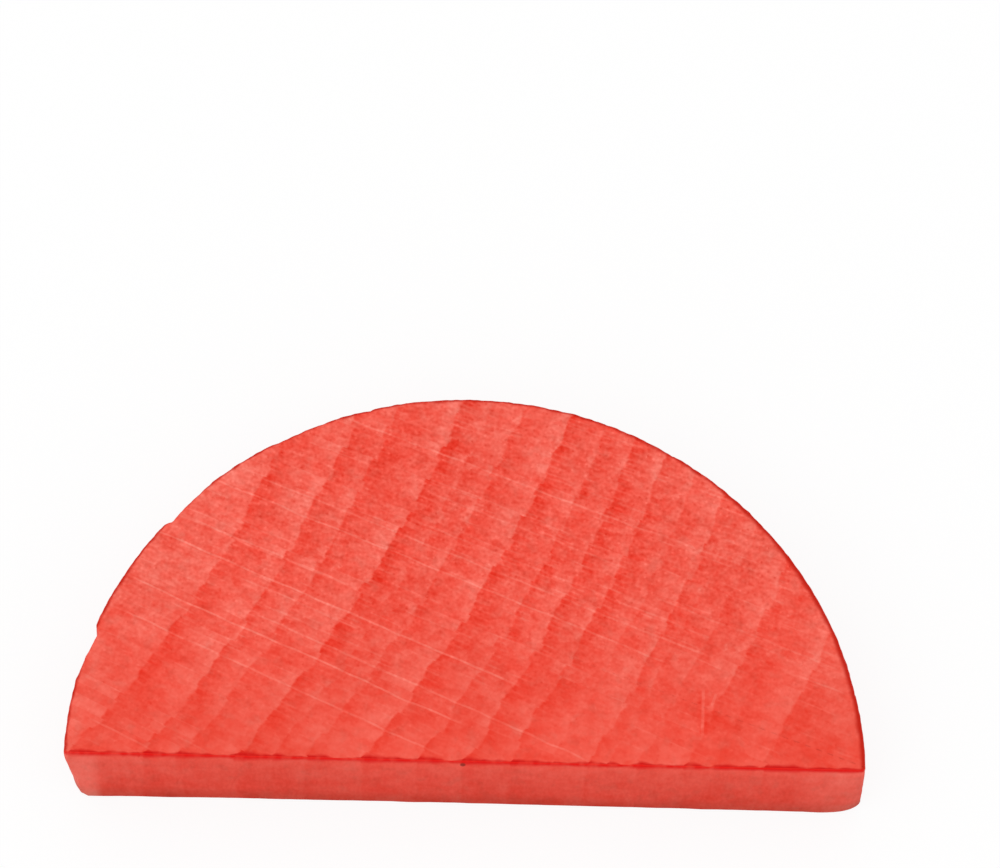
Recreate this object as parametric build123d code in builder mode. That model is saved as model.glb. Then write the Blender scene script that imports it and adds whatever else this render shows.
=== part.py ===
"""A flat half disc of stained wood, a playing piece for board games.

The piece is one slice sawn across a long half-round moulding. Its two large
faces are end grain, its flat side and its round side are the moulding's long
grain, and tumbling in the stain has eased every edge: the top face keeps a
crisp edge, the underside a slightly softer one, and the two corners where the
round side meets the flat side are rounded in plan.

Millimetres. The underside lies on z = 0 with the origin at the middle of the
outline's box, the flat side faces -Y and the crown of the arc points to +Y.
"""

import os

from build123d import *

# Driving dimensions of the slice.
arc_radius = 24.5        # radius of the half-round moulding
depth = 24.0             # flat side to crown: the moulding is just under half round
thickness = 7.5          # length of the sawn slice

# Easing left by sawing and tumbling.
corner_radius = 0.6      # the two corners in plan
top_edge_radius = 0.15   # crisp edge round the top face
base_edge_radius = 0.2   # slightly softer edge round the underside

# An edge round that turns a corner has to be smaller than the corner's own round.
widest_edge_round = 0.9 * corner_radius

# The outline: a chord of the moulding's circle and the arc above it.
flat_side_y = -depth / 2
crown_y = depth / 2
arc_centre_y = crown_y - arc_radius
half_chord = (arc_radius**2 - (flat_side_y - arc_centre_y) ** 2) ** 0.5

left_corner = (-half_chord, flat_side_y)
right_corner = (half_chord, flat_side_y)
crown = (0, crown_y)

with BuildPart() as half_disc:
    with BuildSketch() as outline:
        with BuildLine():
            Line(left_corner, right_corner)
            ThreePointArc(right_corner, crown, left_corner)
        make_face()
        fillet(outline.vertices(), radius=corner_radius)
    extrude(amount=thickness)
    top_face = half_disc.faces().sort_by(Axis.Z)[-1]
    fillet(top_face.edges(), radius=min(top_edge_radius, widest_edge_round))
    underside = half_disc.faces().sort_by(Axis.Z)[0]
    fillet(underside.edges(), radius=min(base_edge_radius, widest_edge_round))

half_disc.part.label = "half_disc"

os.makedirs("parts", exist_ok=True)
export_step(half_disc.part, "parts/half_disc.step")
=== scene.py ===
"""A half disc of red-stained wood, a playing piece: its worn shape, its grain and a plain studio.

The piece lies on z = 0 with its flat side towards -Y, as the CAD part does. Meshes are in metres;
the grain is described in millimetres, from the middle of the piece.
"""

from math import atan2, cos, hypot, pi, radians, sin, sqrt

import bmesh
import bpy
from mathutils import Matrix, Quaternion, Vector


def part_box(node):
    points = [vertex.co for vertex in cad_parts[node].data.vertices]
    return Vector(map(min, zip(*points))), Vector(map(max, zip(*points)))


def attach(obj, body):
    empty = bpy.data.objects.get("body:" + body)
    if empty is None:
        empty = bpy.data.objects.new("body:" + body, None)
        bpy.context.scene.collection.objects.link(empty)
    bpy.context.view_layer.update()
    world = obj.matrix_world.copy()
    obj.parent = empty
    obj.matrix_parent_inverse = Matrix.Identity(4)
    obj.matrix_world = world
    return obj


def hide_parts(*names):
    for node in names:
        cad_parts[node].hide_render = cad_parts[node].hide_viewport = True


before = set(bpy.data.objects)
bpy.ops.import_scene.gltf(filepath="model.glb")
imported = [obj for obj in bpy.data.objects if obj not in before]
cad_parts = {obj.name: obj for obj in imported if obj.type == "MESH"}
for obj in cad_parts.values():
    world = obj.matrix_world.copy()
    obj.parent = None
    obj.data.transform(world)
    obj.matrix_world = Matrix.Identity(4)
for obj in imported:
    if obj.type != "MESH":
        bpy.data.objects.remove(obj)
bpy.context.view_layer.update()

MM = 0.001

# The half disc, from the CAD node: a chord of a circle and the arc above it. The round side's raw
# grain has swollen a little past its planed radius.
lowest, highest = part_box("half_disc")
THICKNESS = highest.z
FLAT_SIDE_Y = lowest.y
PLANED_RADIUS = 24.5 * MM
ARC_RADIUS = PLANED_RADIUS + 0.04 * MM
ARC_CENTRE = Vector((0, highest.y - PLANED_RADIUS, 0))
CORNER_X = sqrt(ARC_RADIUS**2 - (FLAT_SIDE_Y - ARC_CENTRE.y) ** 2)

# How finely the piece is divided.
ARC_STEPS = 1080
FLAT_SIDE_CUTS = 100
HEIGHT_CUTS = 21
CORNER_CUTS = 5
RIM_SEGMENTS = 3

# How its edges are eased, the scale that leaves a narrow border inside each rim, and the angle
# below which two faces are shaded as one surface.
CORNER_ROUND = 0.25 * MM
TOP_EDGE = 0.14 * MM
BASE_EDGE = 0.16 * MM
FLAT_BORDER = 0.996
SMOOTH_BELOW = radians(35)

# How close two places are that count as one, how finely a cut tells them apart, and how far in from
# the arc a place still belongs to the round side.
SAME_PLACE = 0.001 * MM
CUTTING_PRECISION = 0.0001 * MM
ROUND_SIDE_BAND = 0.3 * MM

# The saw ran slightly out of square: how far the underside lies from under the top, with the ends of
# the flat side further forward than its middle.
LEAN_SIDEWAYS = 0.13 * MM
LEAN_FORWARD = 0.03 * MM
ENDS_FORWARD = 0.09 * MM

# Each worn corner: its side, how far the wear reaches along the flat side and along the round side,
# at the underside and at the top, and how long it lingers near the underside.
WORN_CORNERS = [
    (-1, (1.2 * MM, 2.9 * MM), (0.15 * MM, 0.2 * MM), 1.6),
    (1, (2.3 * MM, 0.95 * MM), (0.3 * MM, 0.3 * MM), 0.9),
]

# Splinters lost from the top of the round side: the angle about the arc's centre where each starts,
# its depth there, the length over which it runs out, to the left or, below zero, to the right, and
# its height. Each reaches its full depth within a small share of its length.
SPLINTERS = [
    (158.8, 0.40 * MM, 3.8 * MM, 5.5 * MM),
    (140.3, 0.27 * MM, -4.4 * MM, 3.0 * MM),
    (120.4, 0.13 * MM, -4.6 * MM, 4.0 * MM),
    (104.6, 0.10 * MM, 1.4 * MM, 1.5 * MM),
    (59.0, 0.05 * MM, 1.0 * MM, 1.4 * MM),
    (12.6, 0.07 * MM, 1.6 * MM, 2.0 * MM),
]
SPLINTER_ONSET = 0.12

# The saw's break-out reaches this far down the round side, from just under the top face.
BREAK_OUT_START = 0.01 * MM
BREAK_OUT_HEIGHT = 0.9 * MM


# ------------------------------------------------------------------ modelling helpers


def deselect_everything():
    bpy.ops.object.select_all(action="DESELECT")


def select_edges(piece, wanted):
    """In edit mode, selects the edges whose two ends pass a test on their places."""
    bpy.ops.mesh.select_all(action="DESELECT")
    bpy.ops.mesh.select_mode(type="EDGE")
    mesh = bmesh.from_edit_mesh(piece.data)
    for edge in mesh.edges:
        start, end = (vertex.co for vertex in edge.verts)
        edge.select_set(wanted(start, end))
    mesh.select_flush_mode()
    bmesh.update_edit_mesh(piece.data)


def cut_away(point, direction):
    """Cuts the mesh in edit mode by a plane and throws away what lies in that direction."""
    bpy.ops.mesh.select_all(action="SELECT")
    bpy.ops.mesh.bisect(
        plane_co=point, plane_no=direction, clear_outer=True, threshold=CUTTING_PRECISION
    )


def near(value, target):
    return abs(value - target) < SAME_PLACE


def apply_modifier(piece, kind, **settings):
    """Gives the piece a modifier with these settings and applies it."""
    modifier = piece.modifiers.new(kind.lower(), kind)
    for name, value in settings.items():
        setattr(modifier, name, value)
    bpy.context.view_layer.objects.active = piece
    bpy.ops.object.modifier_apply(modifier=modifier.name)


def weigh(piece, name, weights):
    """A vertex group with a weight from 0 to 1 for each vertex."""
    group = piece.vertex_groups.new(name=name)
    for index, weight in enumerate(weights):
        if weight > 0:
            group.add([index], min(weight, 1), "REPLACE")


def push(piece, name, offset_at):
    """Moves each vertex by an offset that its place gives, by one Displace modifier for each axis."""
    offsets = [offset_at(vertex.co) for vertex in piece.data.vertices]
    for axis, direction in enumerate("XY"):
        furthest = max((offset[axis] for offset in offsets), key=abs)
        group = f"{name}_{direction}"
        weigh(piece, group, [offset[axis] / furthest for offset in offsets])
        apply_modifier(
            piece,
            "DISPLACE",
            direction=direction,
            vertex_group=group,
            mid_level=0,
            strength=furthest,
        )


# ------------------------------------------------------------------ the piece


def saw_slice():
    """The slice as it leaves the saw: a disc cut to its flat side, given its thickness and rows."""
    deselect_everything()
    bpy.ops.mesh.primitive_circle_add(
        vertices=ARC_STEPS, radius=ARC_RADIUS, fill_type="NGON", location=ARC_CENTRE
    )
    disc = bpy.context.object
    disc.name = "worn_half_disc"
    bpy.ops.object.transform_apply(location=True, rotation=False, scale=False)
    bpy.ops.object.mode_set(mode="EDIT")
    cut_away((0, FLAT_SIDE_Y, 0), (0, -1, 0))
    for side in (-1, 1):
        middle = Vector((side * (CORNER_X - CORNER_ROUND), FLAT_SIDE_Y + CORNER_ROUND, 0))
        for step in range(1, CORNER_CUTS + 1):
            turn = pi / 2 * step / (CORNER_CUTS + 1)
            outward = Vector((side * sin(turn), -cos(turn), 0))
            cut_away(middle + outward * CORNER_ROUND, outward)
    select_edges(disc, lambda a, b: near(a.y, FLAT_SIDE_Y) and near(b.y, FLAT_SIDE_Y))
    bpy.ops.mesh.subdivide(number_cuts=FLAT_SIDE_CUTS)
    bpy.ops.mesh.select_all(action="SELECT")
    bpy.ops.mesh.extrude_region_move(TRANSFORM_OT_translate={"value": (0, 0, THICKNESS)})
    bpy.ops.mesh.select_all(action="SELECT")
    bpy.ops.mesh.normals_make_consistent(inside=False)
    select_edges(disc, lambda a, b: abs(a.z - b.z) > THICKNESS / 2)
    bpy.ops.mesh.subdivide(number_cuts=HEIGHT_CUTS)
    bpy.ops.object.mode_set(mode="OBJECT")
    return disc


def ease_rims(piece):
    """Rounds the edges round the top face and the underside. Each of those two faces, the only ones
    with many sides, then gets a narrow border and a fan of triangles from its middle, which keep
    the shading flat across it."""
    bpy.ops.object.mode_set(mode="EDIT")
    for height, width in ((THICKNESS, TOP_EDGE), (0, BASE_EDGE)):
        select_edges(piece, lambda a, b: near(a.z, height) and near(b.z, height))
        bpy.ops.mesh.bevel(offset=width, segments=RIM_SEGMENTS, affect="EDGES")
    bpy.ops.mesh.select_mode(type="FACE")
    bpy.ops.mesh.select_face_by_sides(number=ARC_STEPS // 2, type="GREATER", extend=False)
    bpy.ops.mesh.extrude_region_move()
    bpy.ops.transform.resize(value=(FLAT_BORDER, FLAT_BORDER, 1), center_override=(0, 0, 0))
    bpy.ops.mesh.poke()
    bpy.ops.object.mode_set(mode="OBJECT")


def on_round_side(place):
    return (place - ARC_CENTRE).xy.length > ARC_RADIUS - ROUND_SIDE_BAND


def saw_lean(place):
    """The offset of a slice that was sawn slightly out of square."""
    low = 1 - place.z / THICKNESS
    forward = LEAN_FORWARD + ENDS_FORWARD * (place.x / CORNER_X) ** 2
    return Vector((LEAN_SIDEWAYS, -forward, 0)) * low


def corner_wear(side, base_reach, top_reach, lingering):
    """The offset that brings a place beyond a rubbed corner in to it. The corner is an ellipse in
    plan, larger at the underside than at the top."""

    def offset_at(place):
        up = sin(pi / 2 * place.z / THICKNESS) ** lingering
        reach_x = base_reach[0] + (top_reach[0] - base_reach[0]) * up
        reach_y = base_reach[1] + (top_reach[1] - base_reach[1]) * up
        beyond_x = (place.x * side - (CORNER_X - reach_x)) / reach_x
        beyond_y = (FLAT_SIDE_Y + reach_y - place.y) / reach_y
        beyond = hypot(beyond_x, beyond_y)
        if min(beyond_x, beyond_y) <= 0 or beyond <= 1:
            return Vector((0, 0, 0))
        back = 1 / beyond - 1
        return Vector((beyond_x * reach_x * side, -beyond_y * reach_y, 0)) * back

    return offset_at


def splinter_wear(angle, depth, length, height):
    """The offset into a torn hollow in the round side, deepest just past its start and at the top."""

    def offset_at(place):
        from_centre = place - ARC_CENTRE
        along = (atan2(from_centre.y, from_centre.x) - radians(angle)) * ARC_RADIUS / length
        down = THICKNESS - place.z
        if not (on_round_side(place) and 0 <= along <= 1 and down < height):
            return Vector((0, 0, 0))
        cut = depth * min(along / SPLINTER_ONSET, 1 - along) * (1 - down / height)
        return -from_centre.xy.normalized().to_3d() * cut

    return offset_at


def roughen(piece, group, grain, strength, mid_level):
    """Moves the surface by cloudy noise of a grain size, where the group has weight: in and out
    alike from a middle level of a half, and mostly in from one above that."""
    clouds = bpy.data.textures.new(group, "CLOUDS")
    clouds.noise_scale = grain
    clouds.noise_depth = 1
    apply_modifier(
        piece,
        "DISPLACE",
        texture=clouds,
        texture_coords="LOCAL",
        direction="NORMAL",
        vertex_group=group,
        mid_level=mid_level,
        strength=strength,
    )


def side_weight(place):
    """1 on the flat side and the round side, 0 on the two large faces."""
    return 0 if near(place.z, 0) or near(place.z, THICKNESS) else 1


def ragged_rim_weight(place):
    """The saw's break-out: strongest at the top of the round side, fading down it."""
    depth = THICKNESS - place.z
    if depth > BREAK_OUT_START and on_round_side(place):
        return 1 - depth / BREAK_OUT_HEIGHT
    return 0


piece = saw_slice()
for number, corner in enumerate(WORN_CORNERS):
    push(piece, f"corner_{number}", corner_wear(*corner))
for number, splinter in enumerate(SPLINTERS):
    push(piece, f"splinter_{number}", splinter_wear(*splinter))
push(piece, "lean", saw_lean)
ease_rims(piece)
places = [vertex.co for vertex in piece.data.vertices]
weigh(piece, "sides", [side_weight(place) for place in places])
weigh(piece, "ragged_rim", [ragged_rim_weight(place) for place in places])
roughen(piece, "sides", grain=1.6 * MM, strength=0.05 * MM, mid_level=0.5)
roughen(piece, "ragged_rim", grain=0.5 * MM, strength=0.1 * MM, mid_level=0.58)
bpy.ops.object.shade_smooth_by_angle(angle=SMOOTH_BELOW)
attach(piece, "root")
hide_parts("half_disc")


# ------------------------------------------------------------------ shader arithmetic


class Value:
    """A number, vector or colour that varies over a surface. Arithmetic on it adds Math nodes."""

    def __init__(self, socket):
        self.socket = socket
        self.tree = socket.id_data

    def node(self, kind, settings=None, inputs=None, output=0):
        return add_node(self.tree, kind, settings, inputs, output)

    def math(self, operation, *numbers):
        inputs = dict(enumerate(numbers))
        return self.node("ShaderNodeMath", {"operation": operation}, inputs)

    def parts(self):
        """The x, y and z of a vector."""
        inputs = {"Vector": self}
        return [self.node("ShaderNodeSeparateXYZ", None, inputs, axis) for axis in "XYZ"]

    def __add__(self, other):
        return self.math("ADD", self, other)

    def __radd__(self, other):
        return self.math("ADD", other, self)

    def __sub__(self, other):
        return self.math("SUBTRACT", self, other)

    def __rsub__(self, other):
        return self.math("SUBTRACT", other, self)

    def __mul__(self, other):
        return self.math("MULTIPLY", self, other)

    def __rmul__(self, other):
        return self.math("MULTIPLY", other, self)

    def __truediv__(self, other):
        return self.math("DIVIDE", self, other)

    def __pow__(self, other):
        return self.math("POWER", self, other)

    def __abs__(self):
        return self.math("ABSOLUTE", self)


def add_node(tree, kind, settings=None, inputs=None, output=0):
    """Adds a node, sets it up, fills or links its inputs and returns one of its outputs."""
    made = tree.nodes.new(kind)
    for name, setting in (settings or {}).items():
        setattr(made, name, setting)
    for name, value in (inputs or {}).items():
        if isinstance(value, Value):
            tree.links.new(value.socket, made.inputs[name])
        else:
            made.inputs[name].default_value = value
    return Value(made.outputs[output]) if made.outputs else None


def empty_tree(owner):
    """The node tree of a material or a world, with nothing in it."""
    owner.use_nodes = True
    owner.node_tree.nodes.clear()
    return owner.node_tree


def most(a, b):
    return a.math("MAXIMUM", a, b)


def distance(a, b):
    """The length of the hypotenuse on two legs."""
    return (a * a + b * b) ** 0.5


def map_range(kind, value, start, end, low, high):
    inputs = {"Value": value, "From Min": start, "From Max": end, "To Min": low, "To Max": high}
    return value.node("ShaderNodeMapRange", {"interpolation_type": kind}, inputs)


def rise(value, start, end, low=0.0, high=1.0):
    """Goes smoothly from low at start to high at end, and stays level outside them."""
    return map_range("SMOOTHSTEP", value, start, end, low, high)


def ramp(value, start, end, low, high):
    """Goes straight from low at start to high at end, and stays level outside them."""
    return map_range("LINEAR", value, start, end, low, high)


# A Mix node keeps its sockets for numbers and its sockets for colours in one row.
MIX_SHARE = 0
MIX_NUMBERS = (2, 3)
MIX_COLOURS = (6, 7)
MIXED_COLOUR = 2


def blend(share, a, b):
    """The number a where share is 0 and b where it is 1."""
    inputs = {MIX_SHARE: share, MIX_NUMBERS[0]: a, MIX_NUMBERS[1]: b}
    return share.node("ShaderNodeMix", {"data_type": "FLOAT"}, inputs)


def blend_colours(share, a, b):
    """The colour a where share is 0 and b where it is 1."""
    inputs = {MIX_SHARE: share, MIX_COLOURS[0]: a, MIX_COLOURS[1]: b}
    return share.node("ShaderNodeMix", {"data_type": "RGBA"}, inputs, MIXED_COLOUR)


def vector(x, y, z):
    return x.node("ShaderNodeCombineXYZ", None, {"X": x, "Y": y, "Z": z})


def noise(at, grain, detail=2.0):
    """Smooth cloudy noise from -1 to 1, whose blotches have these sizes along the three numbers of
    a place."""
    x, y, z = (number / size for number, size in zip(at, grain))
    inputs = {"Vector": vector(x, y, z), "Scale": 1.0, "Detail": detail, "Roughness": 0.5}
    return x.node("ShaderNodeTexNoise", {"normalize": True}, inputs) * 2 - 1


def red_part(colour):
    return colour.node("ShaderNodeSeparateColor", None, {"Color": colour}, "Red")


def cell_tone(x, y):
    """Flat-toned patches one unit across: a number for each, from -1 to 1."""
    inputs = {"Vector": vector(x, y, 0), "Scale": 1.0}
    settings = {"voronoi_dimensions": "2D", "feature": "F1"}
    colour = x.node("ShaderNodeTexVoronoi", settings, inputs, "Color")
    return red_part(colour) * 2 - 1


def cell_distance(x, y):
    """The distance from the middle of the nearest of the same patches."""
    inputs = {"Vector": vector(x, y, 0), "Scale": 1.0}
    settings = {"voronoi_dimensions": "2D", "feature": "F1"}
    return x.node("ShaderNodeTexVoronoi", settings, inputs, "Distance")


def ray_cells(v, width):
    """The strips of wood between rays: a number for each, from -0.5 to 0.5, and the distance to
    the nearest ray as a share of a strip's width."""
    inputs = {"W": v / width, "Scale": 1.0}
    colour = v.node("ShaderNodeTexVoronoi", {"voronoi_dimensions": "1D"}, inputs, "Color")
    settings = {"voronoi_dimensions": "1D", "feature": "DISTANCE_TO_EDGE"}
    ray_distance = v.node("ShaderNodeTexVoronoi", settings, inputs, "Distance")
    return red_part(colour) - 0.5, ray_distance


# ------------------------------------------------------------------ the wood

# Tones of the stained wood are the green and blue that it shows, from about 40, dark, to 120, pale:
# here those of the sawn faces and of the sides. Its red hardly falls where the stain is deeper, and
# falls with the tone in fine shade and pores. The shader's faint sheen adds a little white light to
# every colour, so that much is taken off.
MIDDLE_TONE = 83
SIDE_TONE = 78.5
MIDDLE_RED = 243
RED_OVER_TONE = 0.27
RED_OVER_SHADE = 0.85
GREEN_OVER_BLUE = 7.5
SHEEN = 0.0108
ROUGHNESS = 0.72
GLOSS = 0.125

# How far a face may turn from level and still show end grain: its normal's height at the two ends
# of the change from long grain.
LONG_GRAIN_NORMAL = 0.55
END_GRAIN_NORMAL = 0.85

# The stain where it has gathered: along the arc, along the flat side's top edge seen from above and
# from the front, and in one small brown dot below that edge.
ARC_STAIN = (196, 38, 27)
RIM_STAIN = (208, 20, 9)
FRONT_STAIN = (236, 30, 14)
DOT_STAIN = (130, 50, 38)
DOT_X = -0.1
DOT_DEPTH = 0.6

# The growth rings are arcs about a far pith. Each starts abruptly with dark early wood and pales
# outwards: its width, early tone, late tone and how far its start leans along the ring. Along the
# ring is measured from one place near the middle of the top.
PITH = (-82.6, 40.7)
RING_START = 77.87
WOOD_BEFORE_RINGS = 97
RINGS = [
    (3.55, 74, 101, 0.04),
    (2.1, 74, 96, 0.03),
    (3.3, 75, 97, 0.02),
    (1.75, 65, 88, -0.018),
    (1.75, 76, 93, -0.02),
    (2.85, 75, 98, -0.03),
    (2.6, 69, 92, -0.035),
    (2.2, 72, 94, -0.02),
    (2.15, 69, 95, 0),
    (2.15, 71, 91, 0),
    (2.1, 79, 97, 0),
    (1.05, 74, 88, 0),
    (1.65, 77.5, 90, 0),
    (2.4, 79, 94, 0),
    (1.4, 74, 84, 0),
    (2.9, 77, 92, 0),
    (3.0, 74, 87, 0),
]
RING_EDGE = 0.1
ALONG_RING = (-0.454, -0.891)
ALONG_RING_START = 1.0

# The rays fan out from a far point: u is the distance along them and v the distance across, and
# they slant a little on their way down. Between them lie strips of wood, in early wood finer rungs,
# and pores all over. Each bold ray: its v, where along u it starts and ends, and how many tones
# paler it is.
FAN = (-248.0, 101.0)
FAN_REACH = 270.0
RAY_SLANT = 0.15
STRIP_WIDTH = 0.8
RUNG_WIDTH = 0.4
PORE_SPACING = 0.42
BOLD_RAYS = [
    (-92.3, 273, 275, 12),
    (-93.6, 279, 281, 16),
    (-95.2, 281, 283, 12),
    (-96.2, 270, 277, 10),
    (-97.25, 257, 276, 18),
    (-97.2, 276, 284, 11),
    (-99.1, 263, 271, 15),
    (-100.0, 263, 277, 12),
    (-101.05, 279, 291, 13),
    (-102.15, 263, 283, 13),
    (-102.35, 289, 292, 16),
    (-103.3, 253.5, 283, 16),
    (-104.65, 251, 281, 20),
    (-105.7, 293, 295, 12),
    (-106.7, 251.5, 257, 12),
    (-107.85, 251, 261, 18),
    (-109.6, 249, 273, 24),
    (-110.3, 255, 263, 11),
    (-111.4, 257, 265, 12),
    (-112.2, 257, 279, 20),
    (-113.35, 249, 271, 26),
    (-115.7, 249.5, 271, 17),
    (-122.0, 256, 258, 11),
    (-123.55, 251, 255, 16),
]

# Soft patches where the stain has taken more or less: x, y, reach and tones.
PATCHES = [
    (23.2, -1.3, 2.8, 34),
    (16.8, 4.0, 2.8, 10),
    (13.0, 7.5, 3.2, 11),
    (5.0, 4.5, 2.6, 8),
    (1.5, 10.8, 2.8, 9),
    (-8.0, 7.5, 2.8, -7),
    (-17.5, 2.5, 3.2, -5),
    (-5.0, 5.0, 2.6, -4),
    (-22.0, -4.0, 7.0, -8),
    (-19.0, -10.0, 4.0, -7),
    (22.0, -11.5, 4.0, -9),
    (15.0, -9.0, 3.6, -5),
    (-9.5, -2.0, 3.2, 10),
    (4.5, -7.5, 3.0, -6),
    (22.3, -5.0, 3.2, 16),
    (19.0, -0.5, 3.4, 8),
    (-4.5, 8.5, 3.4, -8),
    (-1.0, -10.5, 3.0, -5),
]

# Scratches in the top, one pale line each: the x and y of its back end, how far it runs towards
# the flat side and how far it drifts sideways on the way.
SCRATCHES = [
    (14.56, -7.0, 2.9, -0.03),
    (15.35, -7.2, 0.8, -0.27),
]


def wood_places(tree):
    """Where a point of the piece is, in millimetres."""
    object_place = add_node(tree, "ShaderNodeTexCoord", None, None, "Object")
    inputs = {0: object_place, "Scale": 1 / MM}
    place_mm = object_place.node("ShaderNodeVectorMath", {"operation": "SCALE"}, inputs)
    return place_mm.parts()


def ring_tone(rho, along_ring):
    """The tone of the growth rings at a distance from the pith."""
    tone = WOOD_BEFORE_RINGS
    start = RING_START
    for width, early, late, lean in RINGS:
        place_in = rho - along_ring * lean if lean else rho
        begun = rise(place_in, start - RING_EDGE, start + RING_EDGE)
        level = ramp(place_in, start, start + width, early, late)
        tone = blend(begun, tone, level)
        start += width
    return tone


def bold_ray_tones(u, v):
    """Pale lines along the bold rays, which fade out at both ends."""
    total = 0
    for across, start, end, strength in BOLD_RAYS:
        line = rise(abs(v - across), 0.1, 0.03, 0, strength)
        total = total + line * rise(u, start - 0.5, start + 0.5) * rise(u, end + 1.0, end - 1.0)
    return total


def patch_tones(x, y):
    total = 0
    for patch_x, patch_y, reach, tones in PATCHES:
        total = total + rise(distance(x - patch_x, y - patch_y), reach, 0, 0, tones)
    return total


def scratch_tones(x, y, depth):
    """Pale scratches with a darker border, in the top face alone."""
    total = 0
    for start_x, start_y, length, drift in SCRATCHES:
        run = (start_y - y) / length
        off = abs(x - start_x - run * drift)
        mark = rise(off, 0.13, 0.05, 0, 18) - rise(off, 0.45, 0.2, 0, 8)
        total = total + mark * rise(run, -0.05, 0.05) * rise(run, 1.1, 0.9)
    return total * rise(depth, 1, 0.5)


def wavering_ring_tone(x, y, in_grain, strip):
    """The growth rings, their lines broken by waves of three sizes and stepped from strip to strip."""
    rho = distance(x - PITH[0], y - PITH[1])
    along_ring = x * ALONG_RING[0] + y * ALONG_RING[1] - ALONG_RING_START
    slow = noise(in_grain, (6, 4, 12), 1.0) * 0.3
    wavy = noise(in_grain, (1.8, 1.4, 6), 1.0) * 0.16
    fine = noise(in_grain, (0.6, 0.4, 4), 1.0) * 0.1
    return ring_tone(rho + slow + wavy + fine + strip * 0.3, along_ring)


def ray_tones(y, in_grain, wander, ray_distance, ring):
    """What the rays add: fine ones here and there, rungs in the early wood, and the bold ones. Near
    the flat side the fine ones are rubbed away."""
    u, v, _ = in_grain
    broken = noise(in_grain, (2.5, 0.8, 3))
    fine_rays = rise(ray_distance, 0.1, 0.03, 0, 12) * rise(broken, 0.0, 0.35)
    rung, rung_distance = ray_cells(v + wander * 0.7, RUNG_WIDTH)
    early_wood = rise(ring, 83, 74)
    rungs = rise(rung_distance, 0.28, 0.06, -3, 9) * rise(broken, -0.35, 0.15) + rung * 14
    wobble = noise(in_grain, (2.4, 2, 4), 1.0) * 0.14
    patchy = rise(noise(in_grain, (0.9, 0.5, 4)), -0.3, 0.2, 0.6, 1.05)
    lines = fine_rays * ramp(y, -11, -3, 0.5, 1) + early_wood * rungs * ramp(y, -11, -3, 0.2, 1)
    return lines + bold_ray_tones(u, v + wobble) * patchy


def blotch_tones(x, y, depth, strip):
    """Where the stain has taken unevenly: clouds, blotches, and a mottle that is livelier towards
    the crown. The clouds also carry painted light, darker towards the flat side and lighter towards the
    crown."""
    on_face = (x, y, depth)
    # Painted light: the slope darkens the top towards the flat side and lightens it towards the crown.
    stain_cloud_and_painted_light = noise(on_face, (3.4, 3.4, 5), 1.0) * 8 + ramp(y, -12, 8, -3, 2)
    blotch = noise(on_face, (1.7, 1.6, 3), 1.0) * 12
    jitter = noise(on_face, (0.3, 0.3, 3), 1.0)
    patch = cell_tone(x / 0.5 + jitter * 0.5, y / 0.46 + jitter * -0.4)
    mottle = rise(noise(on_face, (0.66, 0.6, 2), 1.0), -0.35, 0.35, -5.2, 5.2) + patch * 4.5
    return stain_cloud_and_painted_light + blotch + strip * 4 + mottle * ramp(y, -11, 1, 0.7, 1.2) + patch_tones(x, y)


def fine_shade(x, y, depth, in_grain):
    """Pores, speckle and fibres of the sawn faces, crisper towards the crown."""
    pore_x = x / PORE_SPACING
    pore_y = y / PORE_SPACING
    pores = rise(cell_distance(pore_x, pore_y), 0.26, 0.08) * cell_tone(pore_x, pore_y) * 12
    speckle = noise((x, y, depth), (0.22, 0.22, 1.5), 0.0) * 14
    fibres = noise(in_grain, (0.8, 0.26, 2), 0.5) * 12
    return (speckle + pores + fibres) * ramp(y, -11, 1, 0.3, 1.0)


def end_grain_tone(x, y, depth):
    """The sawn faces: their tone, their fine shade and the bare ring tone by itself."""
    u = distance(x - FAN[0], y - FAN[1])
    v = x.math("ARCTAN2", y - FAN[1], x - FAN[0]) * FAN_REACH + depth * RAY_SLANT
    in_grain = (u, v, depth)
    wander = noise(in_grain, (9, 3, 6), 1.0) * 0.3
    strip, ray_distance = ray_cells(v + wander, STRIP_WIDTH)

    ring = wavering_ring_tone(x, y, in_grain, strip)
    contrast = noise(in_grain, (2.2, 0.9, 5)) * 1.2 + 1.05 + strip * 0.6
    tone = (ring - MIDDLE_TONE) * contrast * ramp(y, -12, -4, 0.8, 1) + MIDDLE_TONE
    tone = tone + ray_tones(y, in_grain, wander, ray_distance, ring)
    tone = tone + blotch_tones(x, y, depth, strip) + scratch_tones(x, y, depth)
    return tone, fine_shade(x, y, depth, in_grain), ring


def long_grain_tone(x, y, z):
    """Streaks and blotches of the flat side and the round side, and the shade by itself: painted shade
    darkens the sides towards the underside and painted light lifts them near the top, and the two ends
    of the flat side, by the worn corners, are paler."""
    on_side = (x, y, z)
    streaks = noise(on_side, (0.38, 0.38, 1.9), 1.5) * 9
    blotches = noise(on_side, (1.5, 1.5, 1.3), 1.5) * 14
    left_end = rise(x, -22.1, -22.9) * rise(y, -9.5, -11.6)
    right_end = rise(x, 19.5, 23.5)
    tone = streaks + blotches + left_end * ramp(z, 0.8, 6.5, 25, 15) + right_end * 13 + SIDE_TONE
    # Painted shade and light: darker towards the underside, lighter towards the top edge, a little
    # cloudy, weaker at the left end, with both ends lifted.
    low = rise(z, 0.0, 1.6, -5, 0) + ramp(z, 1.0, 7.0, -11, 5)
    low = low * (noise(on_side, (2.2, 2.2, 2.0), 1.0) * 0.9 + 1) * (1 - left_end * 0.7)
    low = low + left_end * 5 + right_end * 3
    return tone, low + noise(on_side, (0.2, 0.2, 0.5), 1.0) * 8


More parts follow.
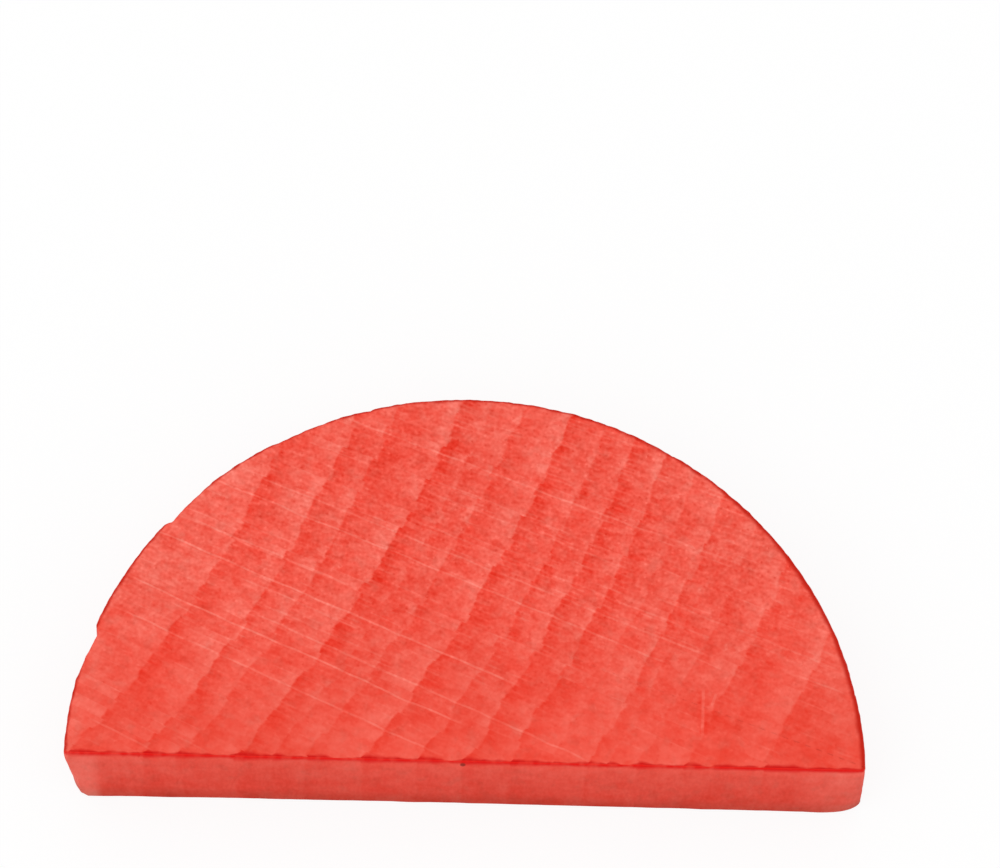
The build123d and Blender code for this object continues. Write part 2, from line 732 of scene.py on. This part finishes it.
def edge_stain(x, y, depth, ring):
    """The dark lines of stain along the top edges: on the flat side, where early wood drinks it in
    beads, and round the arc. Each reaches some way over the top and some way down the side."""
    at = (x, y, depth)
    flat_side_distance = y - FLAT_SIDE_Y / MM
    arc_distance = ARC_RADIUS / MM - distance(x - ARC_CENTRE.x / MM, y - ARC_CENTRE.y / MM)
    solid_end = rise(x, 15, 19)
    strength = rise(noise(at, (0.7, 0.7, 3), 1.0) + solid_end, -0.4, 0.2, 0.62, 1)

    beads = noise(at, (1.3, 1.3, 4))
    thirst = ramp(ring, 70, 86, 1.1, -0.3)
    breadth = most(1 + beads * 1.6 + thirst + solid_end * 0.2, 0.3)
    over_top = flat_side_distance / (breadth * 0.11)
    down_side = depth / (breadth * 0.12 + 0.28)
    flat_line = rise(most(over_top, down_side), 2.0, 0.4) * strength

    arc_breadth = noise(at, (1.2, 1.2, 2)) * 0.12 + 0.14 + rise(x, 6, 22, 0, 0.1)
    arc_reach = noise(at, (0.8, 0.8, 4)) * 0.28 + 0.24
    over_top = arc_distance / most(arc_breadth, 0.08)
    down_side = depth / most(arc_reach, 0.1)
    arc_line = rise(most(over_top, down_side), 1.9, 0.6) * strength
    return flat_line, arc_line


def light(level):
    """The light of a level from 0 to 255, for one number or for one that varies over a surface."""
    return ((level / 255 + 0.055) / 1.055) ** 2.4


def stained(colour):
    """A colour, given as the three levels that it shows, as paint under the shader's sheen."""
    return (*(max(light(level) - SHEEN, 0) for level in colour), 1.0)


def stained_by(red, green, blue):
    """The same for levels that vary over the surface."""
    levels = {"Red": red, "Green": green, "Blue": blue}
    inputs = {name: most(light(level) - SHEEN, 0) for name, level in levels.items()}
    return red.node("ShaderNodeCombineColor", None, inputs)


def stained_wood():
    """Red-stained wood: end grain on the two large faces, long grain on the sides."""
    material = bpy.data.materials.new("red_stained_wood")
    tree = empty_tree(material)
    x, y, z = wood_places(tree)
    depth = THICKNESS / MM - z
    normal = add_node(tree, "ShaderNodeNewGeometry", None, None, "Normal")
    end_grain = rise(abs(normal.parts()[2]), LONG_GRAIN_NORMAL, END_GRAIN_NORMAL)
    long_grain = 1 - end_grain

    sawn_tone, sawn_shade, ring = end_grain_tone(x, y, depth)
    long_tone, long_shade = long_grain_tone(x, y, z)
    tone = blend(end_grain, long_tone + (ring - MIDDLE_TONE) * 0.3, sawn_tone)
    shade = blend(end_grain, long_shade, sawn_shade)
    dull = rise(noise((x, y, z), (0.9, 0.9, 1.5)), 0.0, 0.5, 0, 8)
    dull = dull + noise((x, y, z), (3.5, 3.5, 5), 1.0) * 5
    # Painted shade on the sides: their red falls towards the underside, and painted light raises it a
    # little near the top edge.
    painted_foot_shade_top_light = (rise(z, 2.2, 0.3, 0, 19) - rise(z, 5.8, 6.8, 0, 4)) * long_grain
    red = (tone - MIDDLE_TONE) * RED_OVER_TONE + shade * RED_OVER_SHADE + MIDDLE_RED - dull - painted_foot_shade_top_light
    seen = tone + shade
    colour = stained_by(red, seen + GREEN_OVER_BLUE, seen - GREEN_OVER_BLUE)

    flat_line, arc_line = edge_stain(x, y, depth, ring)
    dot = rise(distance(x - DOT_X, (depth - DOT_DEPTH) * 0.6), 0.22, 0.1) * rise(y, -11.7, -11.9)
    colour = blend_colours(arc_line * (end_grain * 0.3 + 0.64), colour, stained(ARC_STAIN))
    colour = blend_colours(flat_line * end_grain * 0.97, colour, stained(RIM_STAIN))
    colour = blend_colours(flat_line * long_grain * 0.97, colour, stained(FRONT_STAIN))
    colour = blend_colours(dot * 0.8, colour, stained(DOT_STAIN))

    grain_height = noise((x, y, z), (0.1, 0.1, 0.4))
    inputs = {"Height": grain_height, "Strength": 0.15, "Distance": 0.02 * MM}
    raised_grain = x.node("ShaderNodeBump", None, inputs)
    inputs = {
        "Base Color": colour,
        "Roughness": ROUGHNESS,
        "Specular IOR Level": GLOSS,
        "Normal": raised_grain,
    }
    surface = x.node("ShaderNodeBsdfPrincipled", None, inputs)
    x.node("ShaderNodeOutputMaterial", None, {"Surface": surface})
    return material


piece.data.materials.append(stained_wood())


# ------------------------------------------------------------------ the studio

WHITE = (1, 1, 1, 1)
FLOOR_GREY = (0.7, 0.7, 0.7, 1)
FLOOR_GLOW = 0.88
FLOOR_SIZE = 6
FLOOR_GAP = 0.02 * MM
SKY_LIGHT = 0.848
LAMP_PLACE = Vector((-0.25, -0.35, 0.75))
LAMP_SIZE = 0.6
LAMP_POWER = 1.4


def shown_share(tree):
    """1 for what the camera sees, straight or by gloss or through glass, and 0 for light at work."""
    shown = add_node(tree, "ShaderNodeLightPath", None, None, "Is Camera Ray")
    for way in ("Is Glossy Ray", "Is Transmission Ray"):
        shown = most(shown, add_node(tree, "ShaderNodeLightPath", None, None, way))
    return shown


def floor_finish():
    """White to the camera, with the piece's soft shadow kept, and pale grey to the light it returns."""
    material = bpy.data.materials.new("studio_floor")
    shown = shown_share(empty_tree(material))
    lit = shown.node("ShaderNodeBsdfDiffuse", None, {"Color": blend_colours(shown, FLOOR_GREY, WHITE)})
    white = shown.node("ShaderNodeEmission", None, {"Color": WHITE, "Strength": 1.0})
    both = shown.node("ShaderNodeMixShader", None, {0: shown * FLOOR_GLOW, 1: lit, 2: white})
    shown.node("ShaderNodeOutputMaterial", None, {"Surface": both})
    return material


def lay_floor():
    """A floor a hair under the piece, so that the two never touch."""
    deselect_everything()
    bpy.ops.mesh.primitive_plane_add(size=FLOOR_SIZE, location=(0, 0, -FLOOR_GAP))
    floor = bpy.context.object
    floor.name = "floor"
    floor.data.materials.append(floor_finish())


def light_sky():
    """Even light from all round, and plain white to the camera."""
    world = bpy.data.worlds.new("studio")
    bpy.context.scene.world = world
    shown = shown_share(empty_tree(world))
    strength = blend(shown, SKY_LIGHT, 1.0)
    sky = shown.node("ShaderNodeBackground", None, {"Color": WHITE, "Strength": strength})
    shown.node("ShaderNodeOutputWorld", None, {"Surface": sky})


def hang_lamp():
    """One large soft lamp, above and in front of the flat side."""
    deselect_everything()
    bpy.ops.object.light_add(type="AREA", location=LAMP_PLACE)
    lamp = bpy.context.object
    lamp.rotation_mode = "QUATERNION"
    lamp.rotation_quaternion = (-LAMP_PLACE).to_track_quat("-Z", "Y")
    lamp.data.size = LAMP_SIZE
    lamp.data.energy = LAMP_POWER


def set_up_camera():
    """Looks steeply down at the piece from in front of its flat side, through a long lens."""
    aim = Vector((1.84, 12.87, 0)) * MM
    range_to_aim = 505.5 * MM
    elevation = radians(67.3)
    heading = radians(1.35)
    tilt = radians(2.6)
    forward = Vector((sin(heading) * cos(elevation), cos(heading) * cos(elevation), -sin(elevation)))
    camera_data = bpy.data.cameras.new("camera")
    camera_data.sensor_width = 36
    camera_data.lens = 288
    camera = bpy.data.objects.new("camera", camera_data)
    bpy.context.scene.collection.objects.link(camera)
    camera.location = aim - forward * range_to_aim
    camera.rotation_mode = "QUATERNION"
    camera.rotation_quaternion = forward.to_track_quat("-Z", "Y") @ Quaternion((0, 0, 1), tilt)
    bpy.context.scene.camera = camera


lay_floor()
light_sky()
hang_lamp()
set_up_camera()
bpy.context.scene.view_settings.view_transform = "Standard"
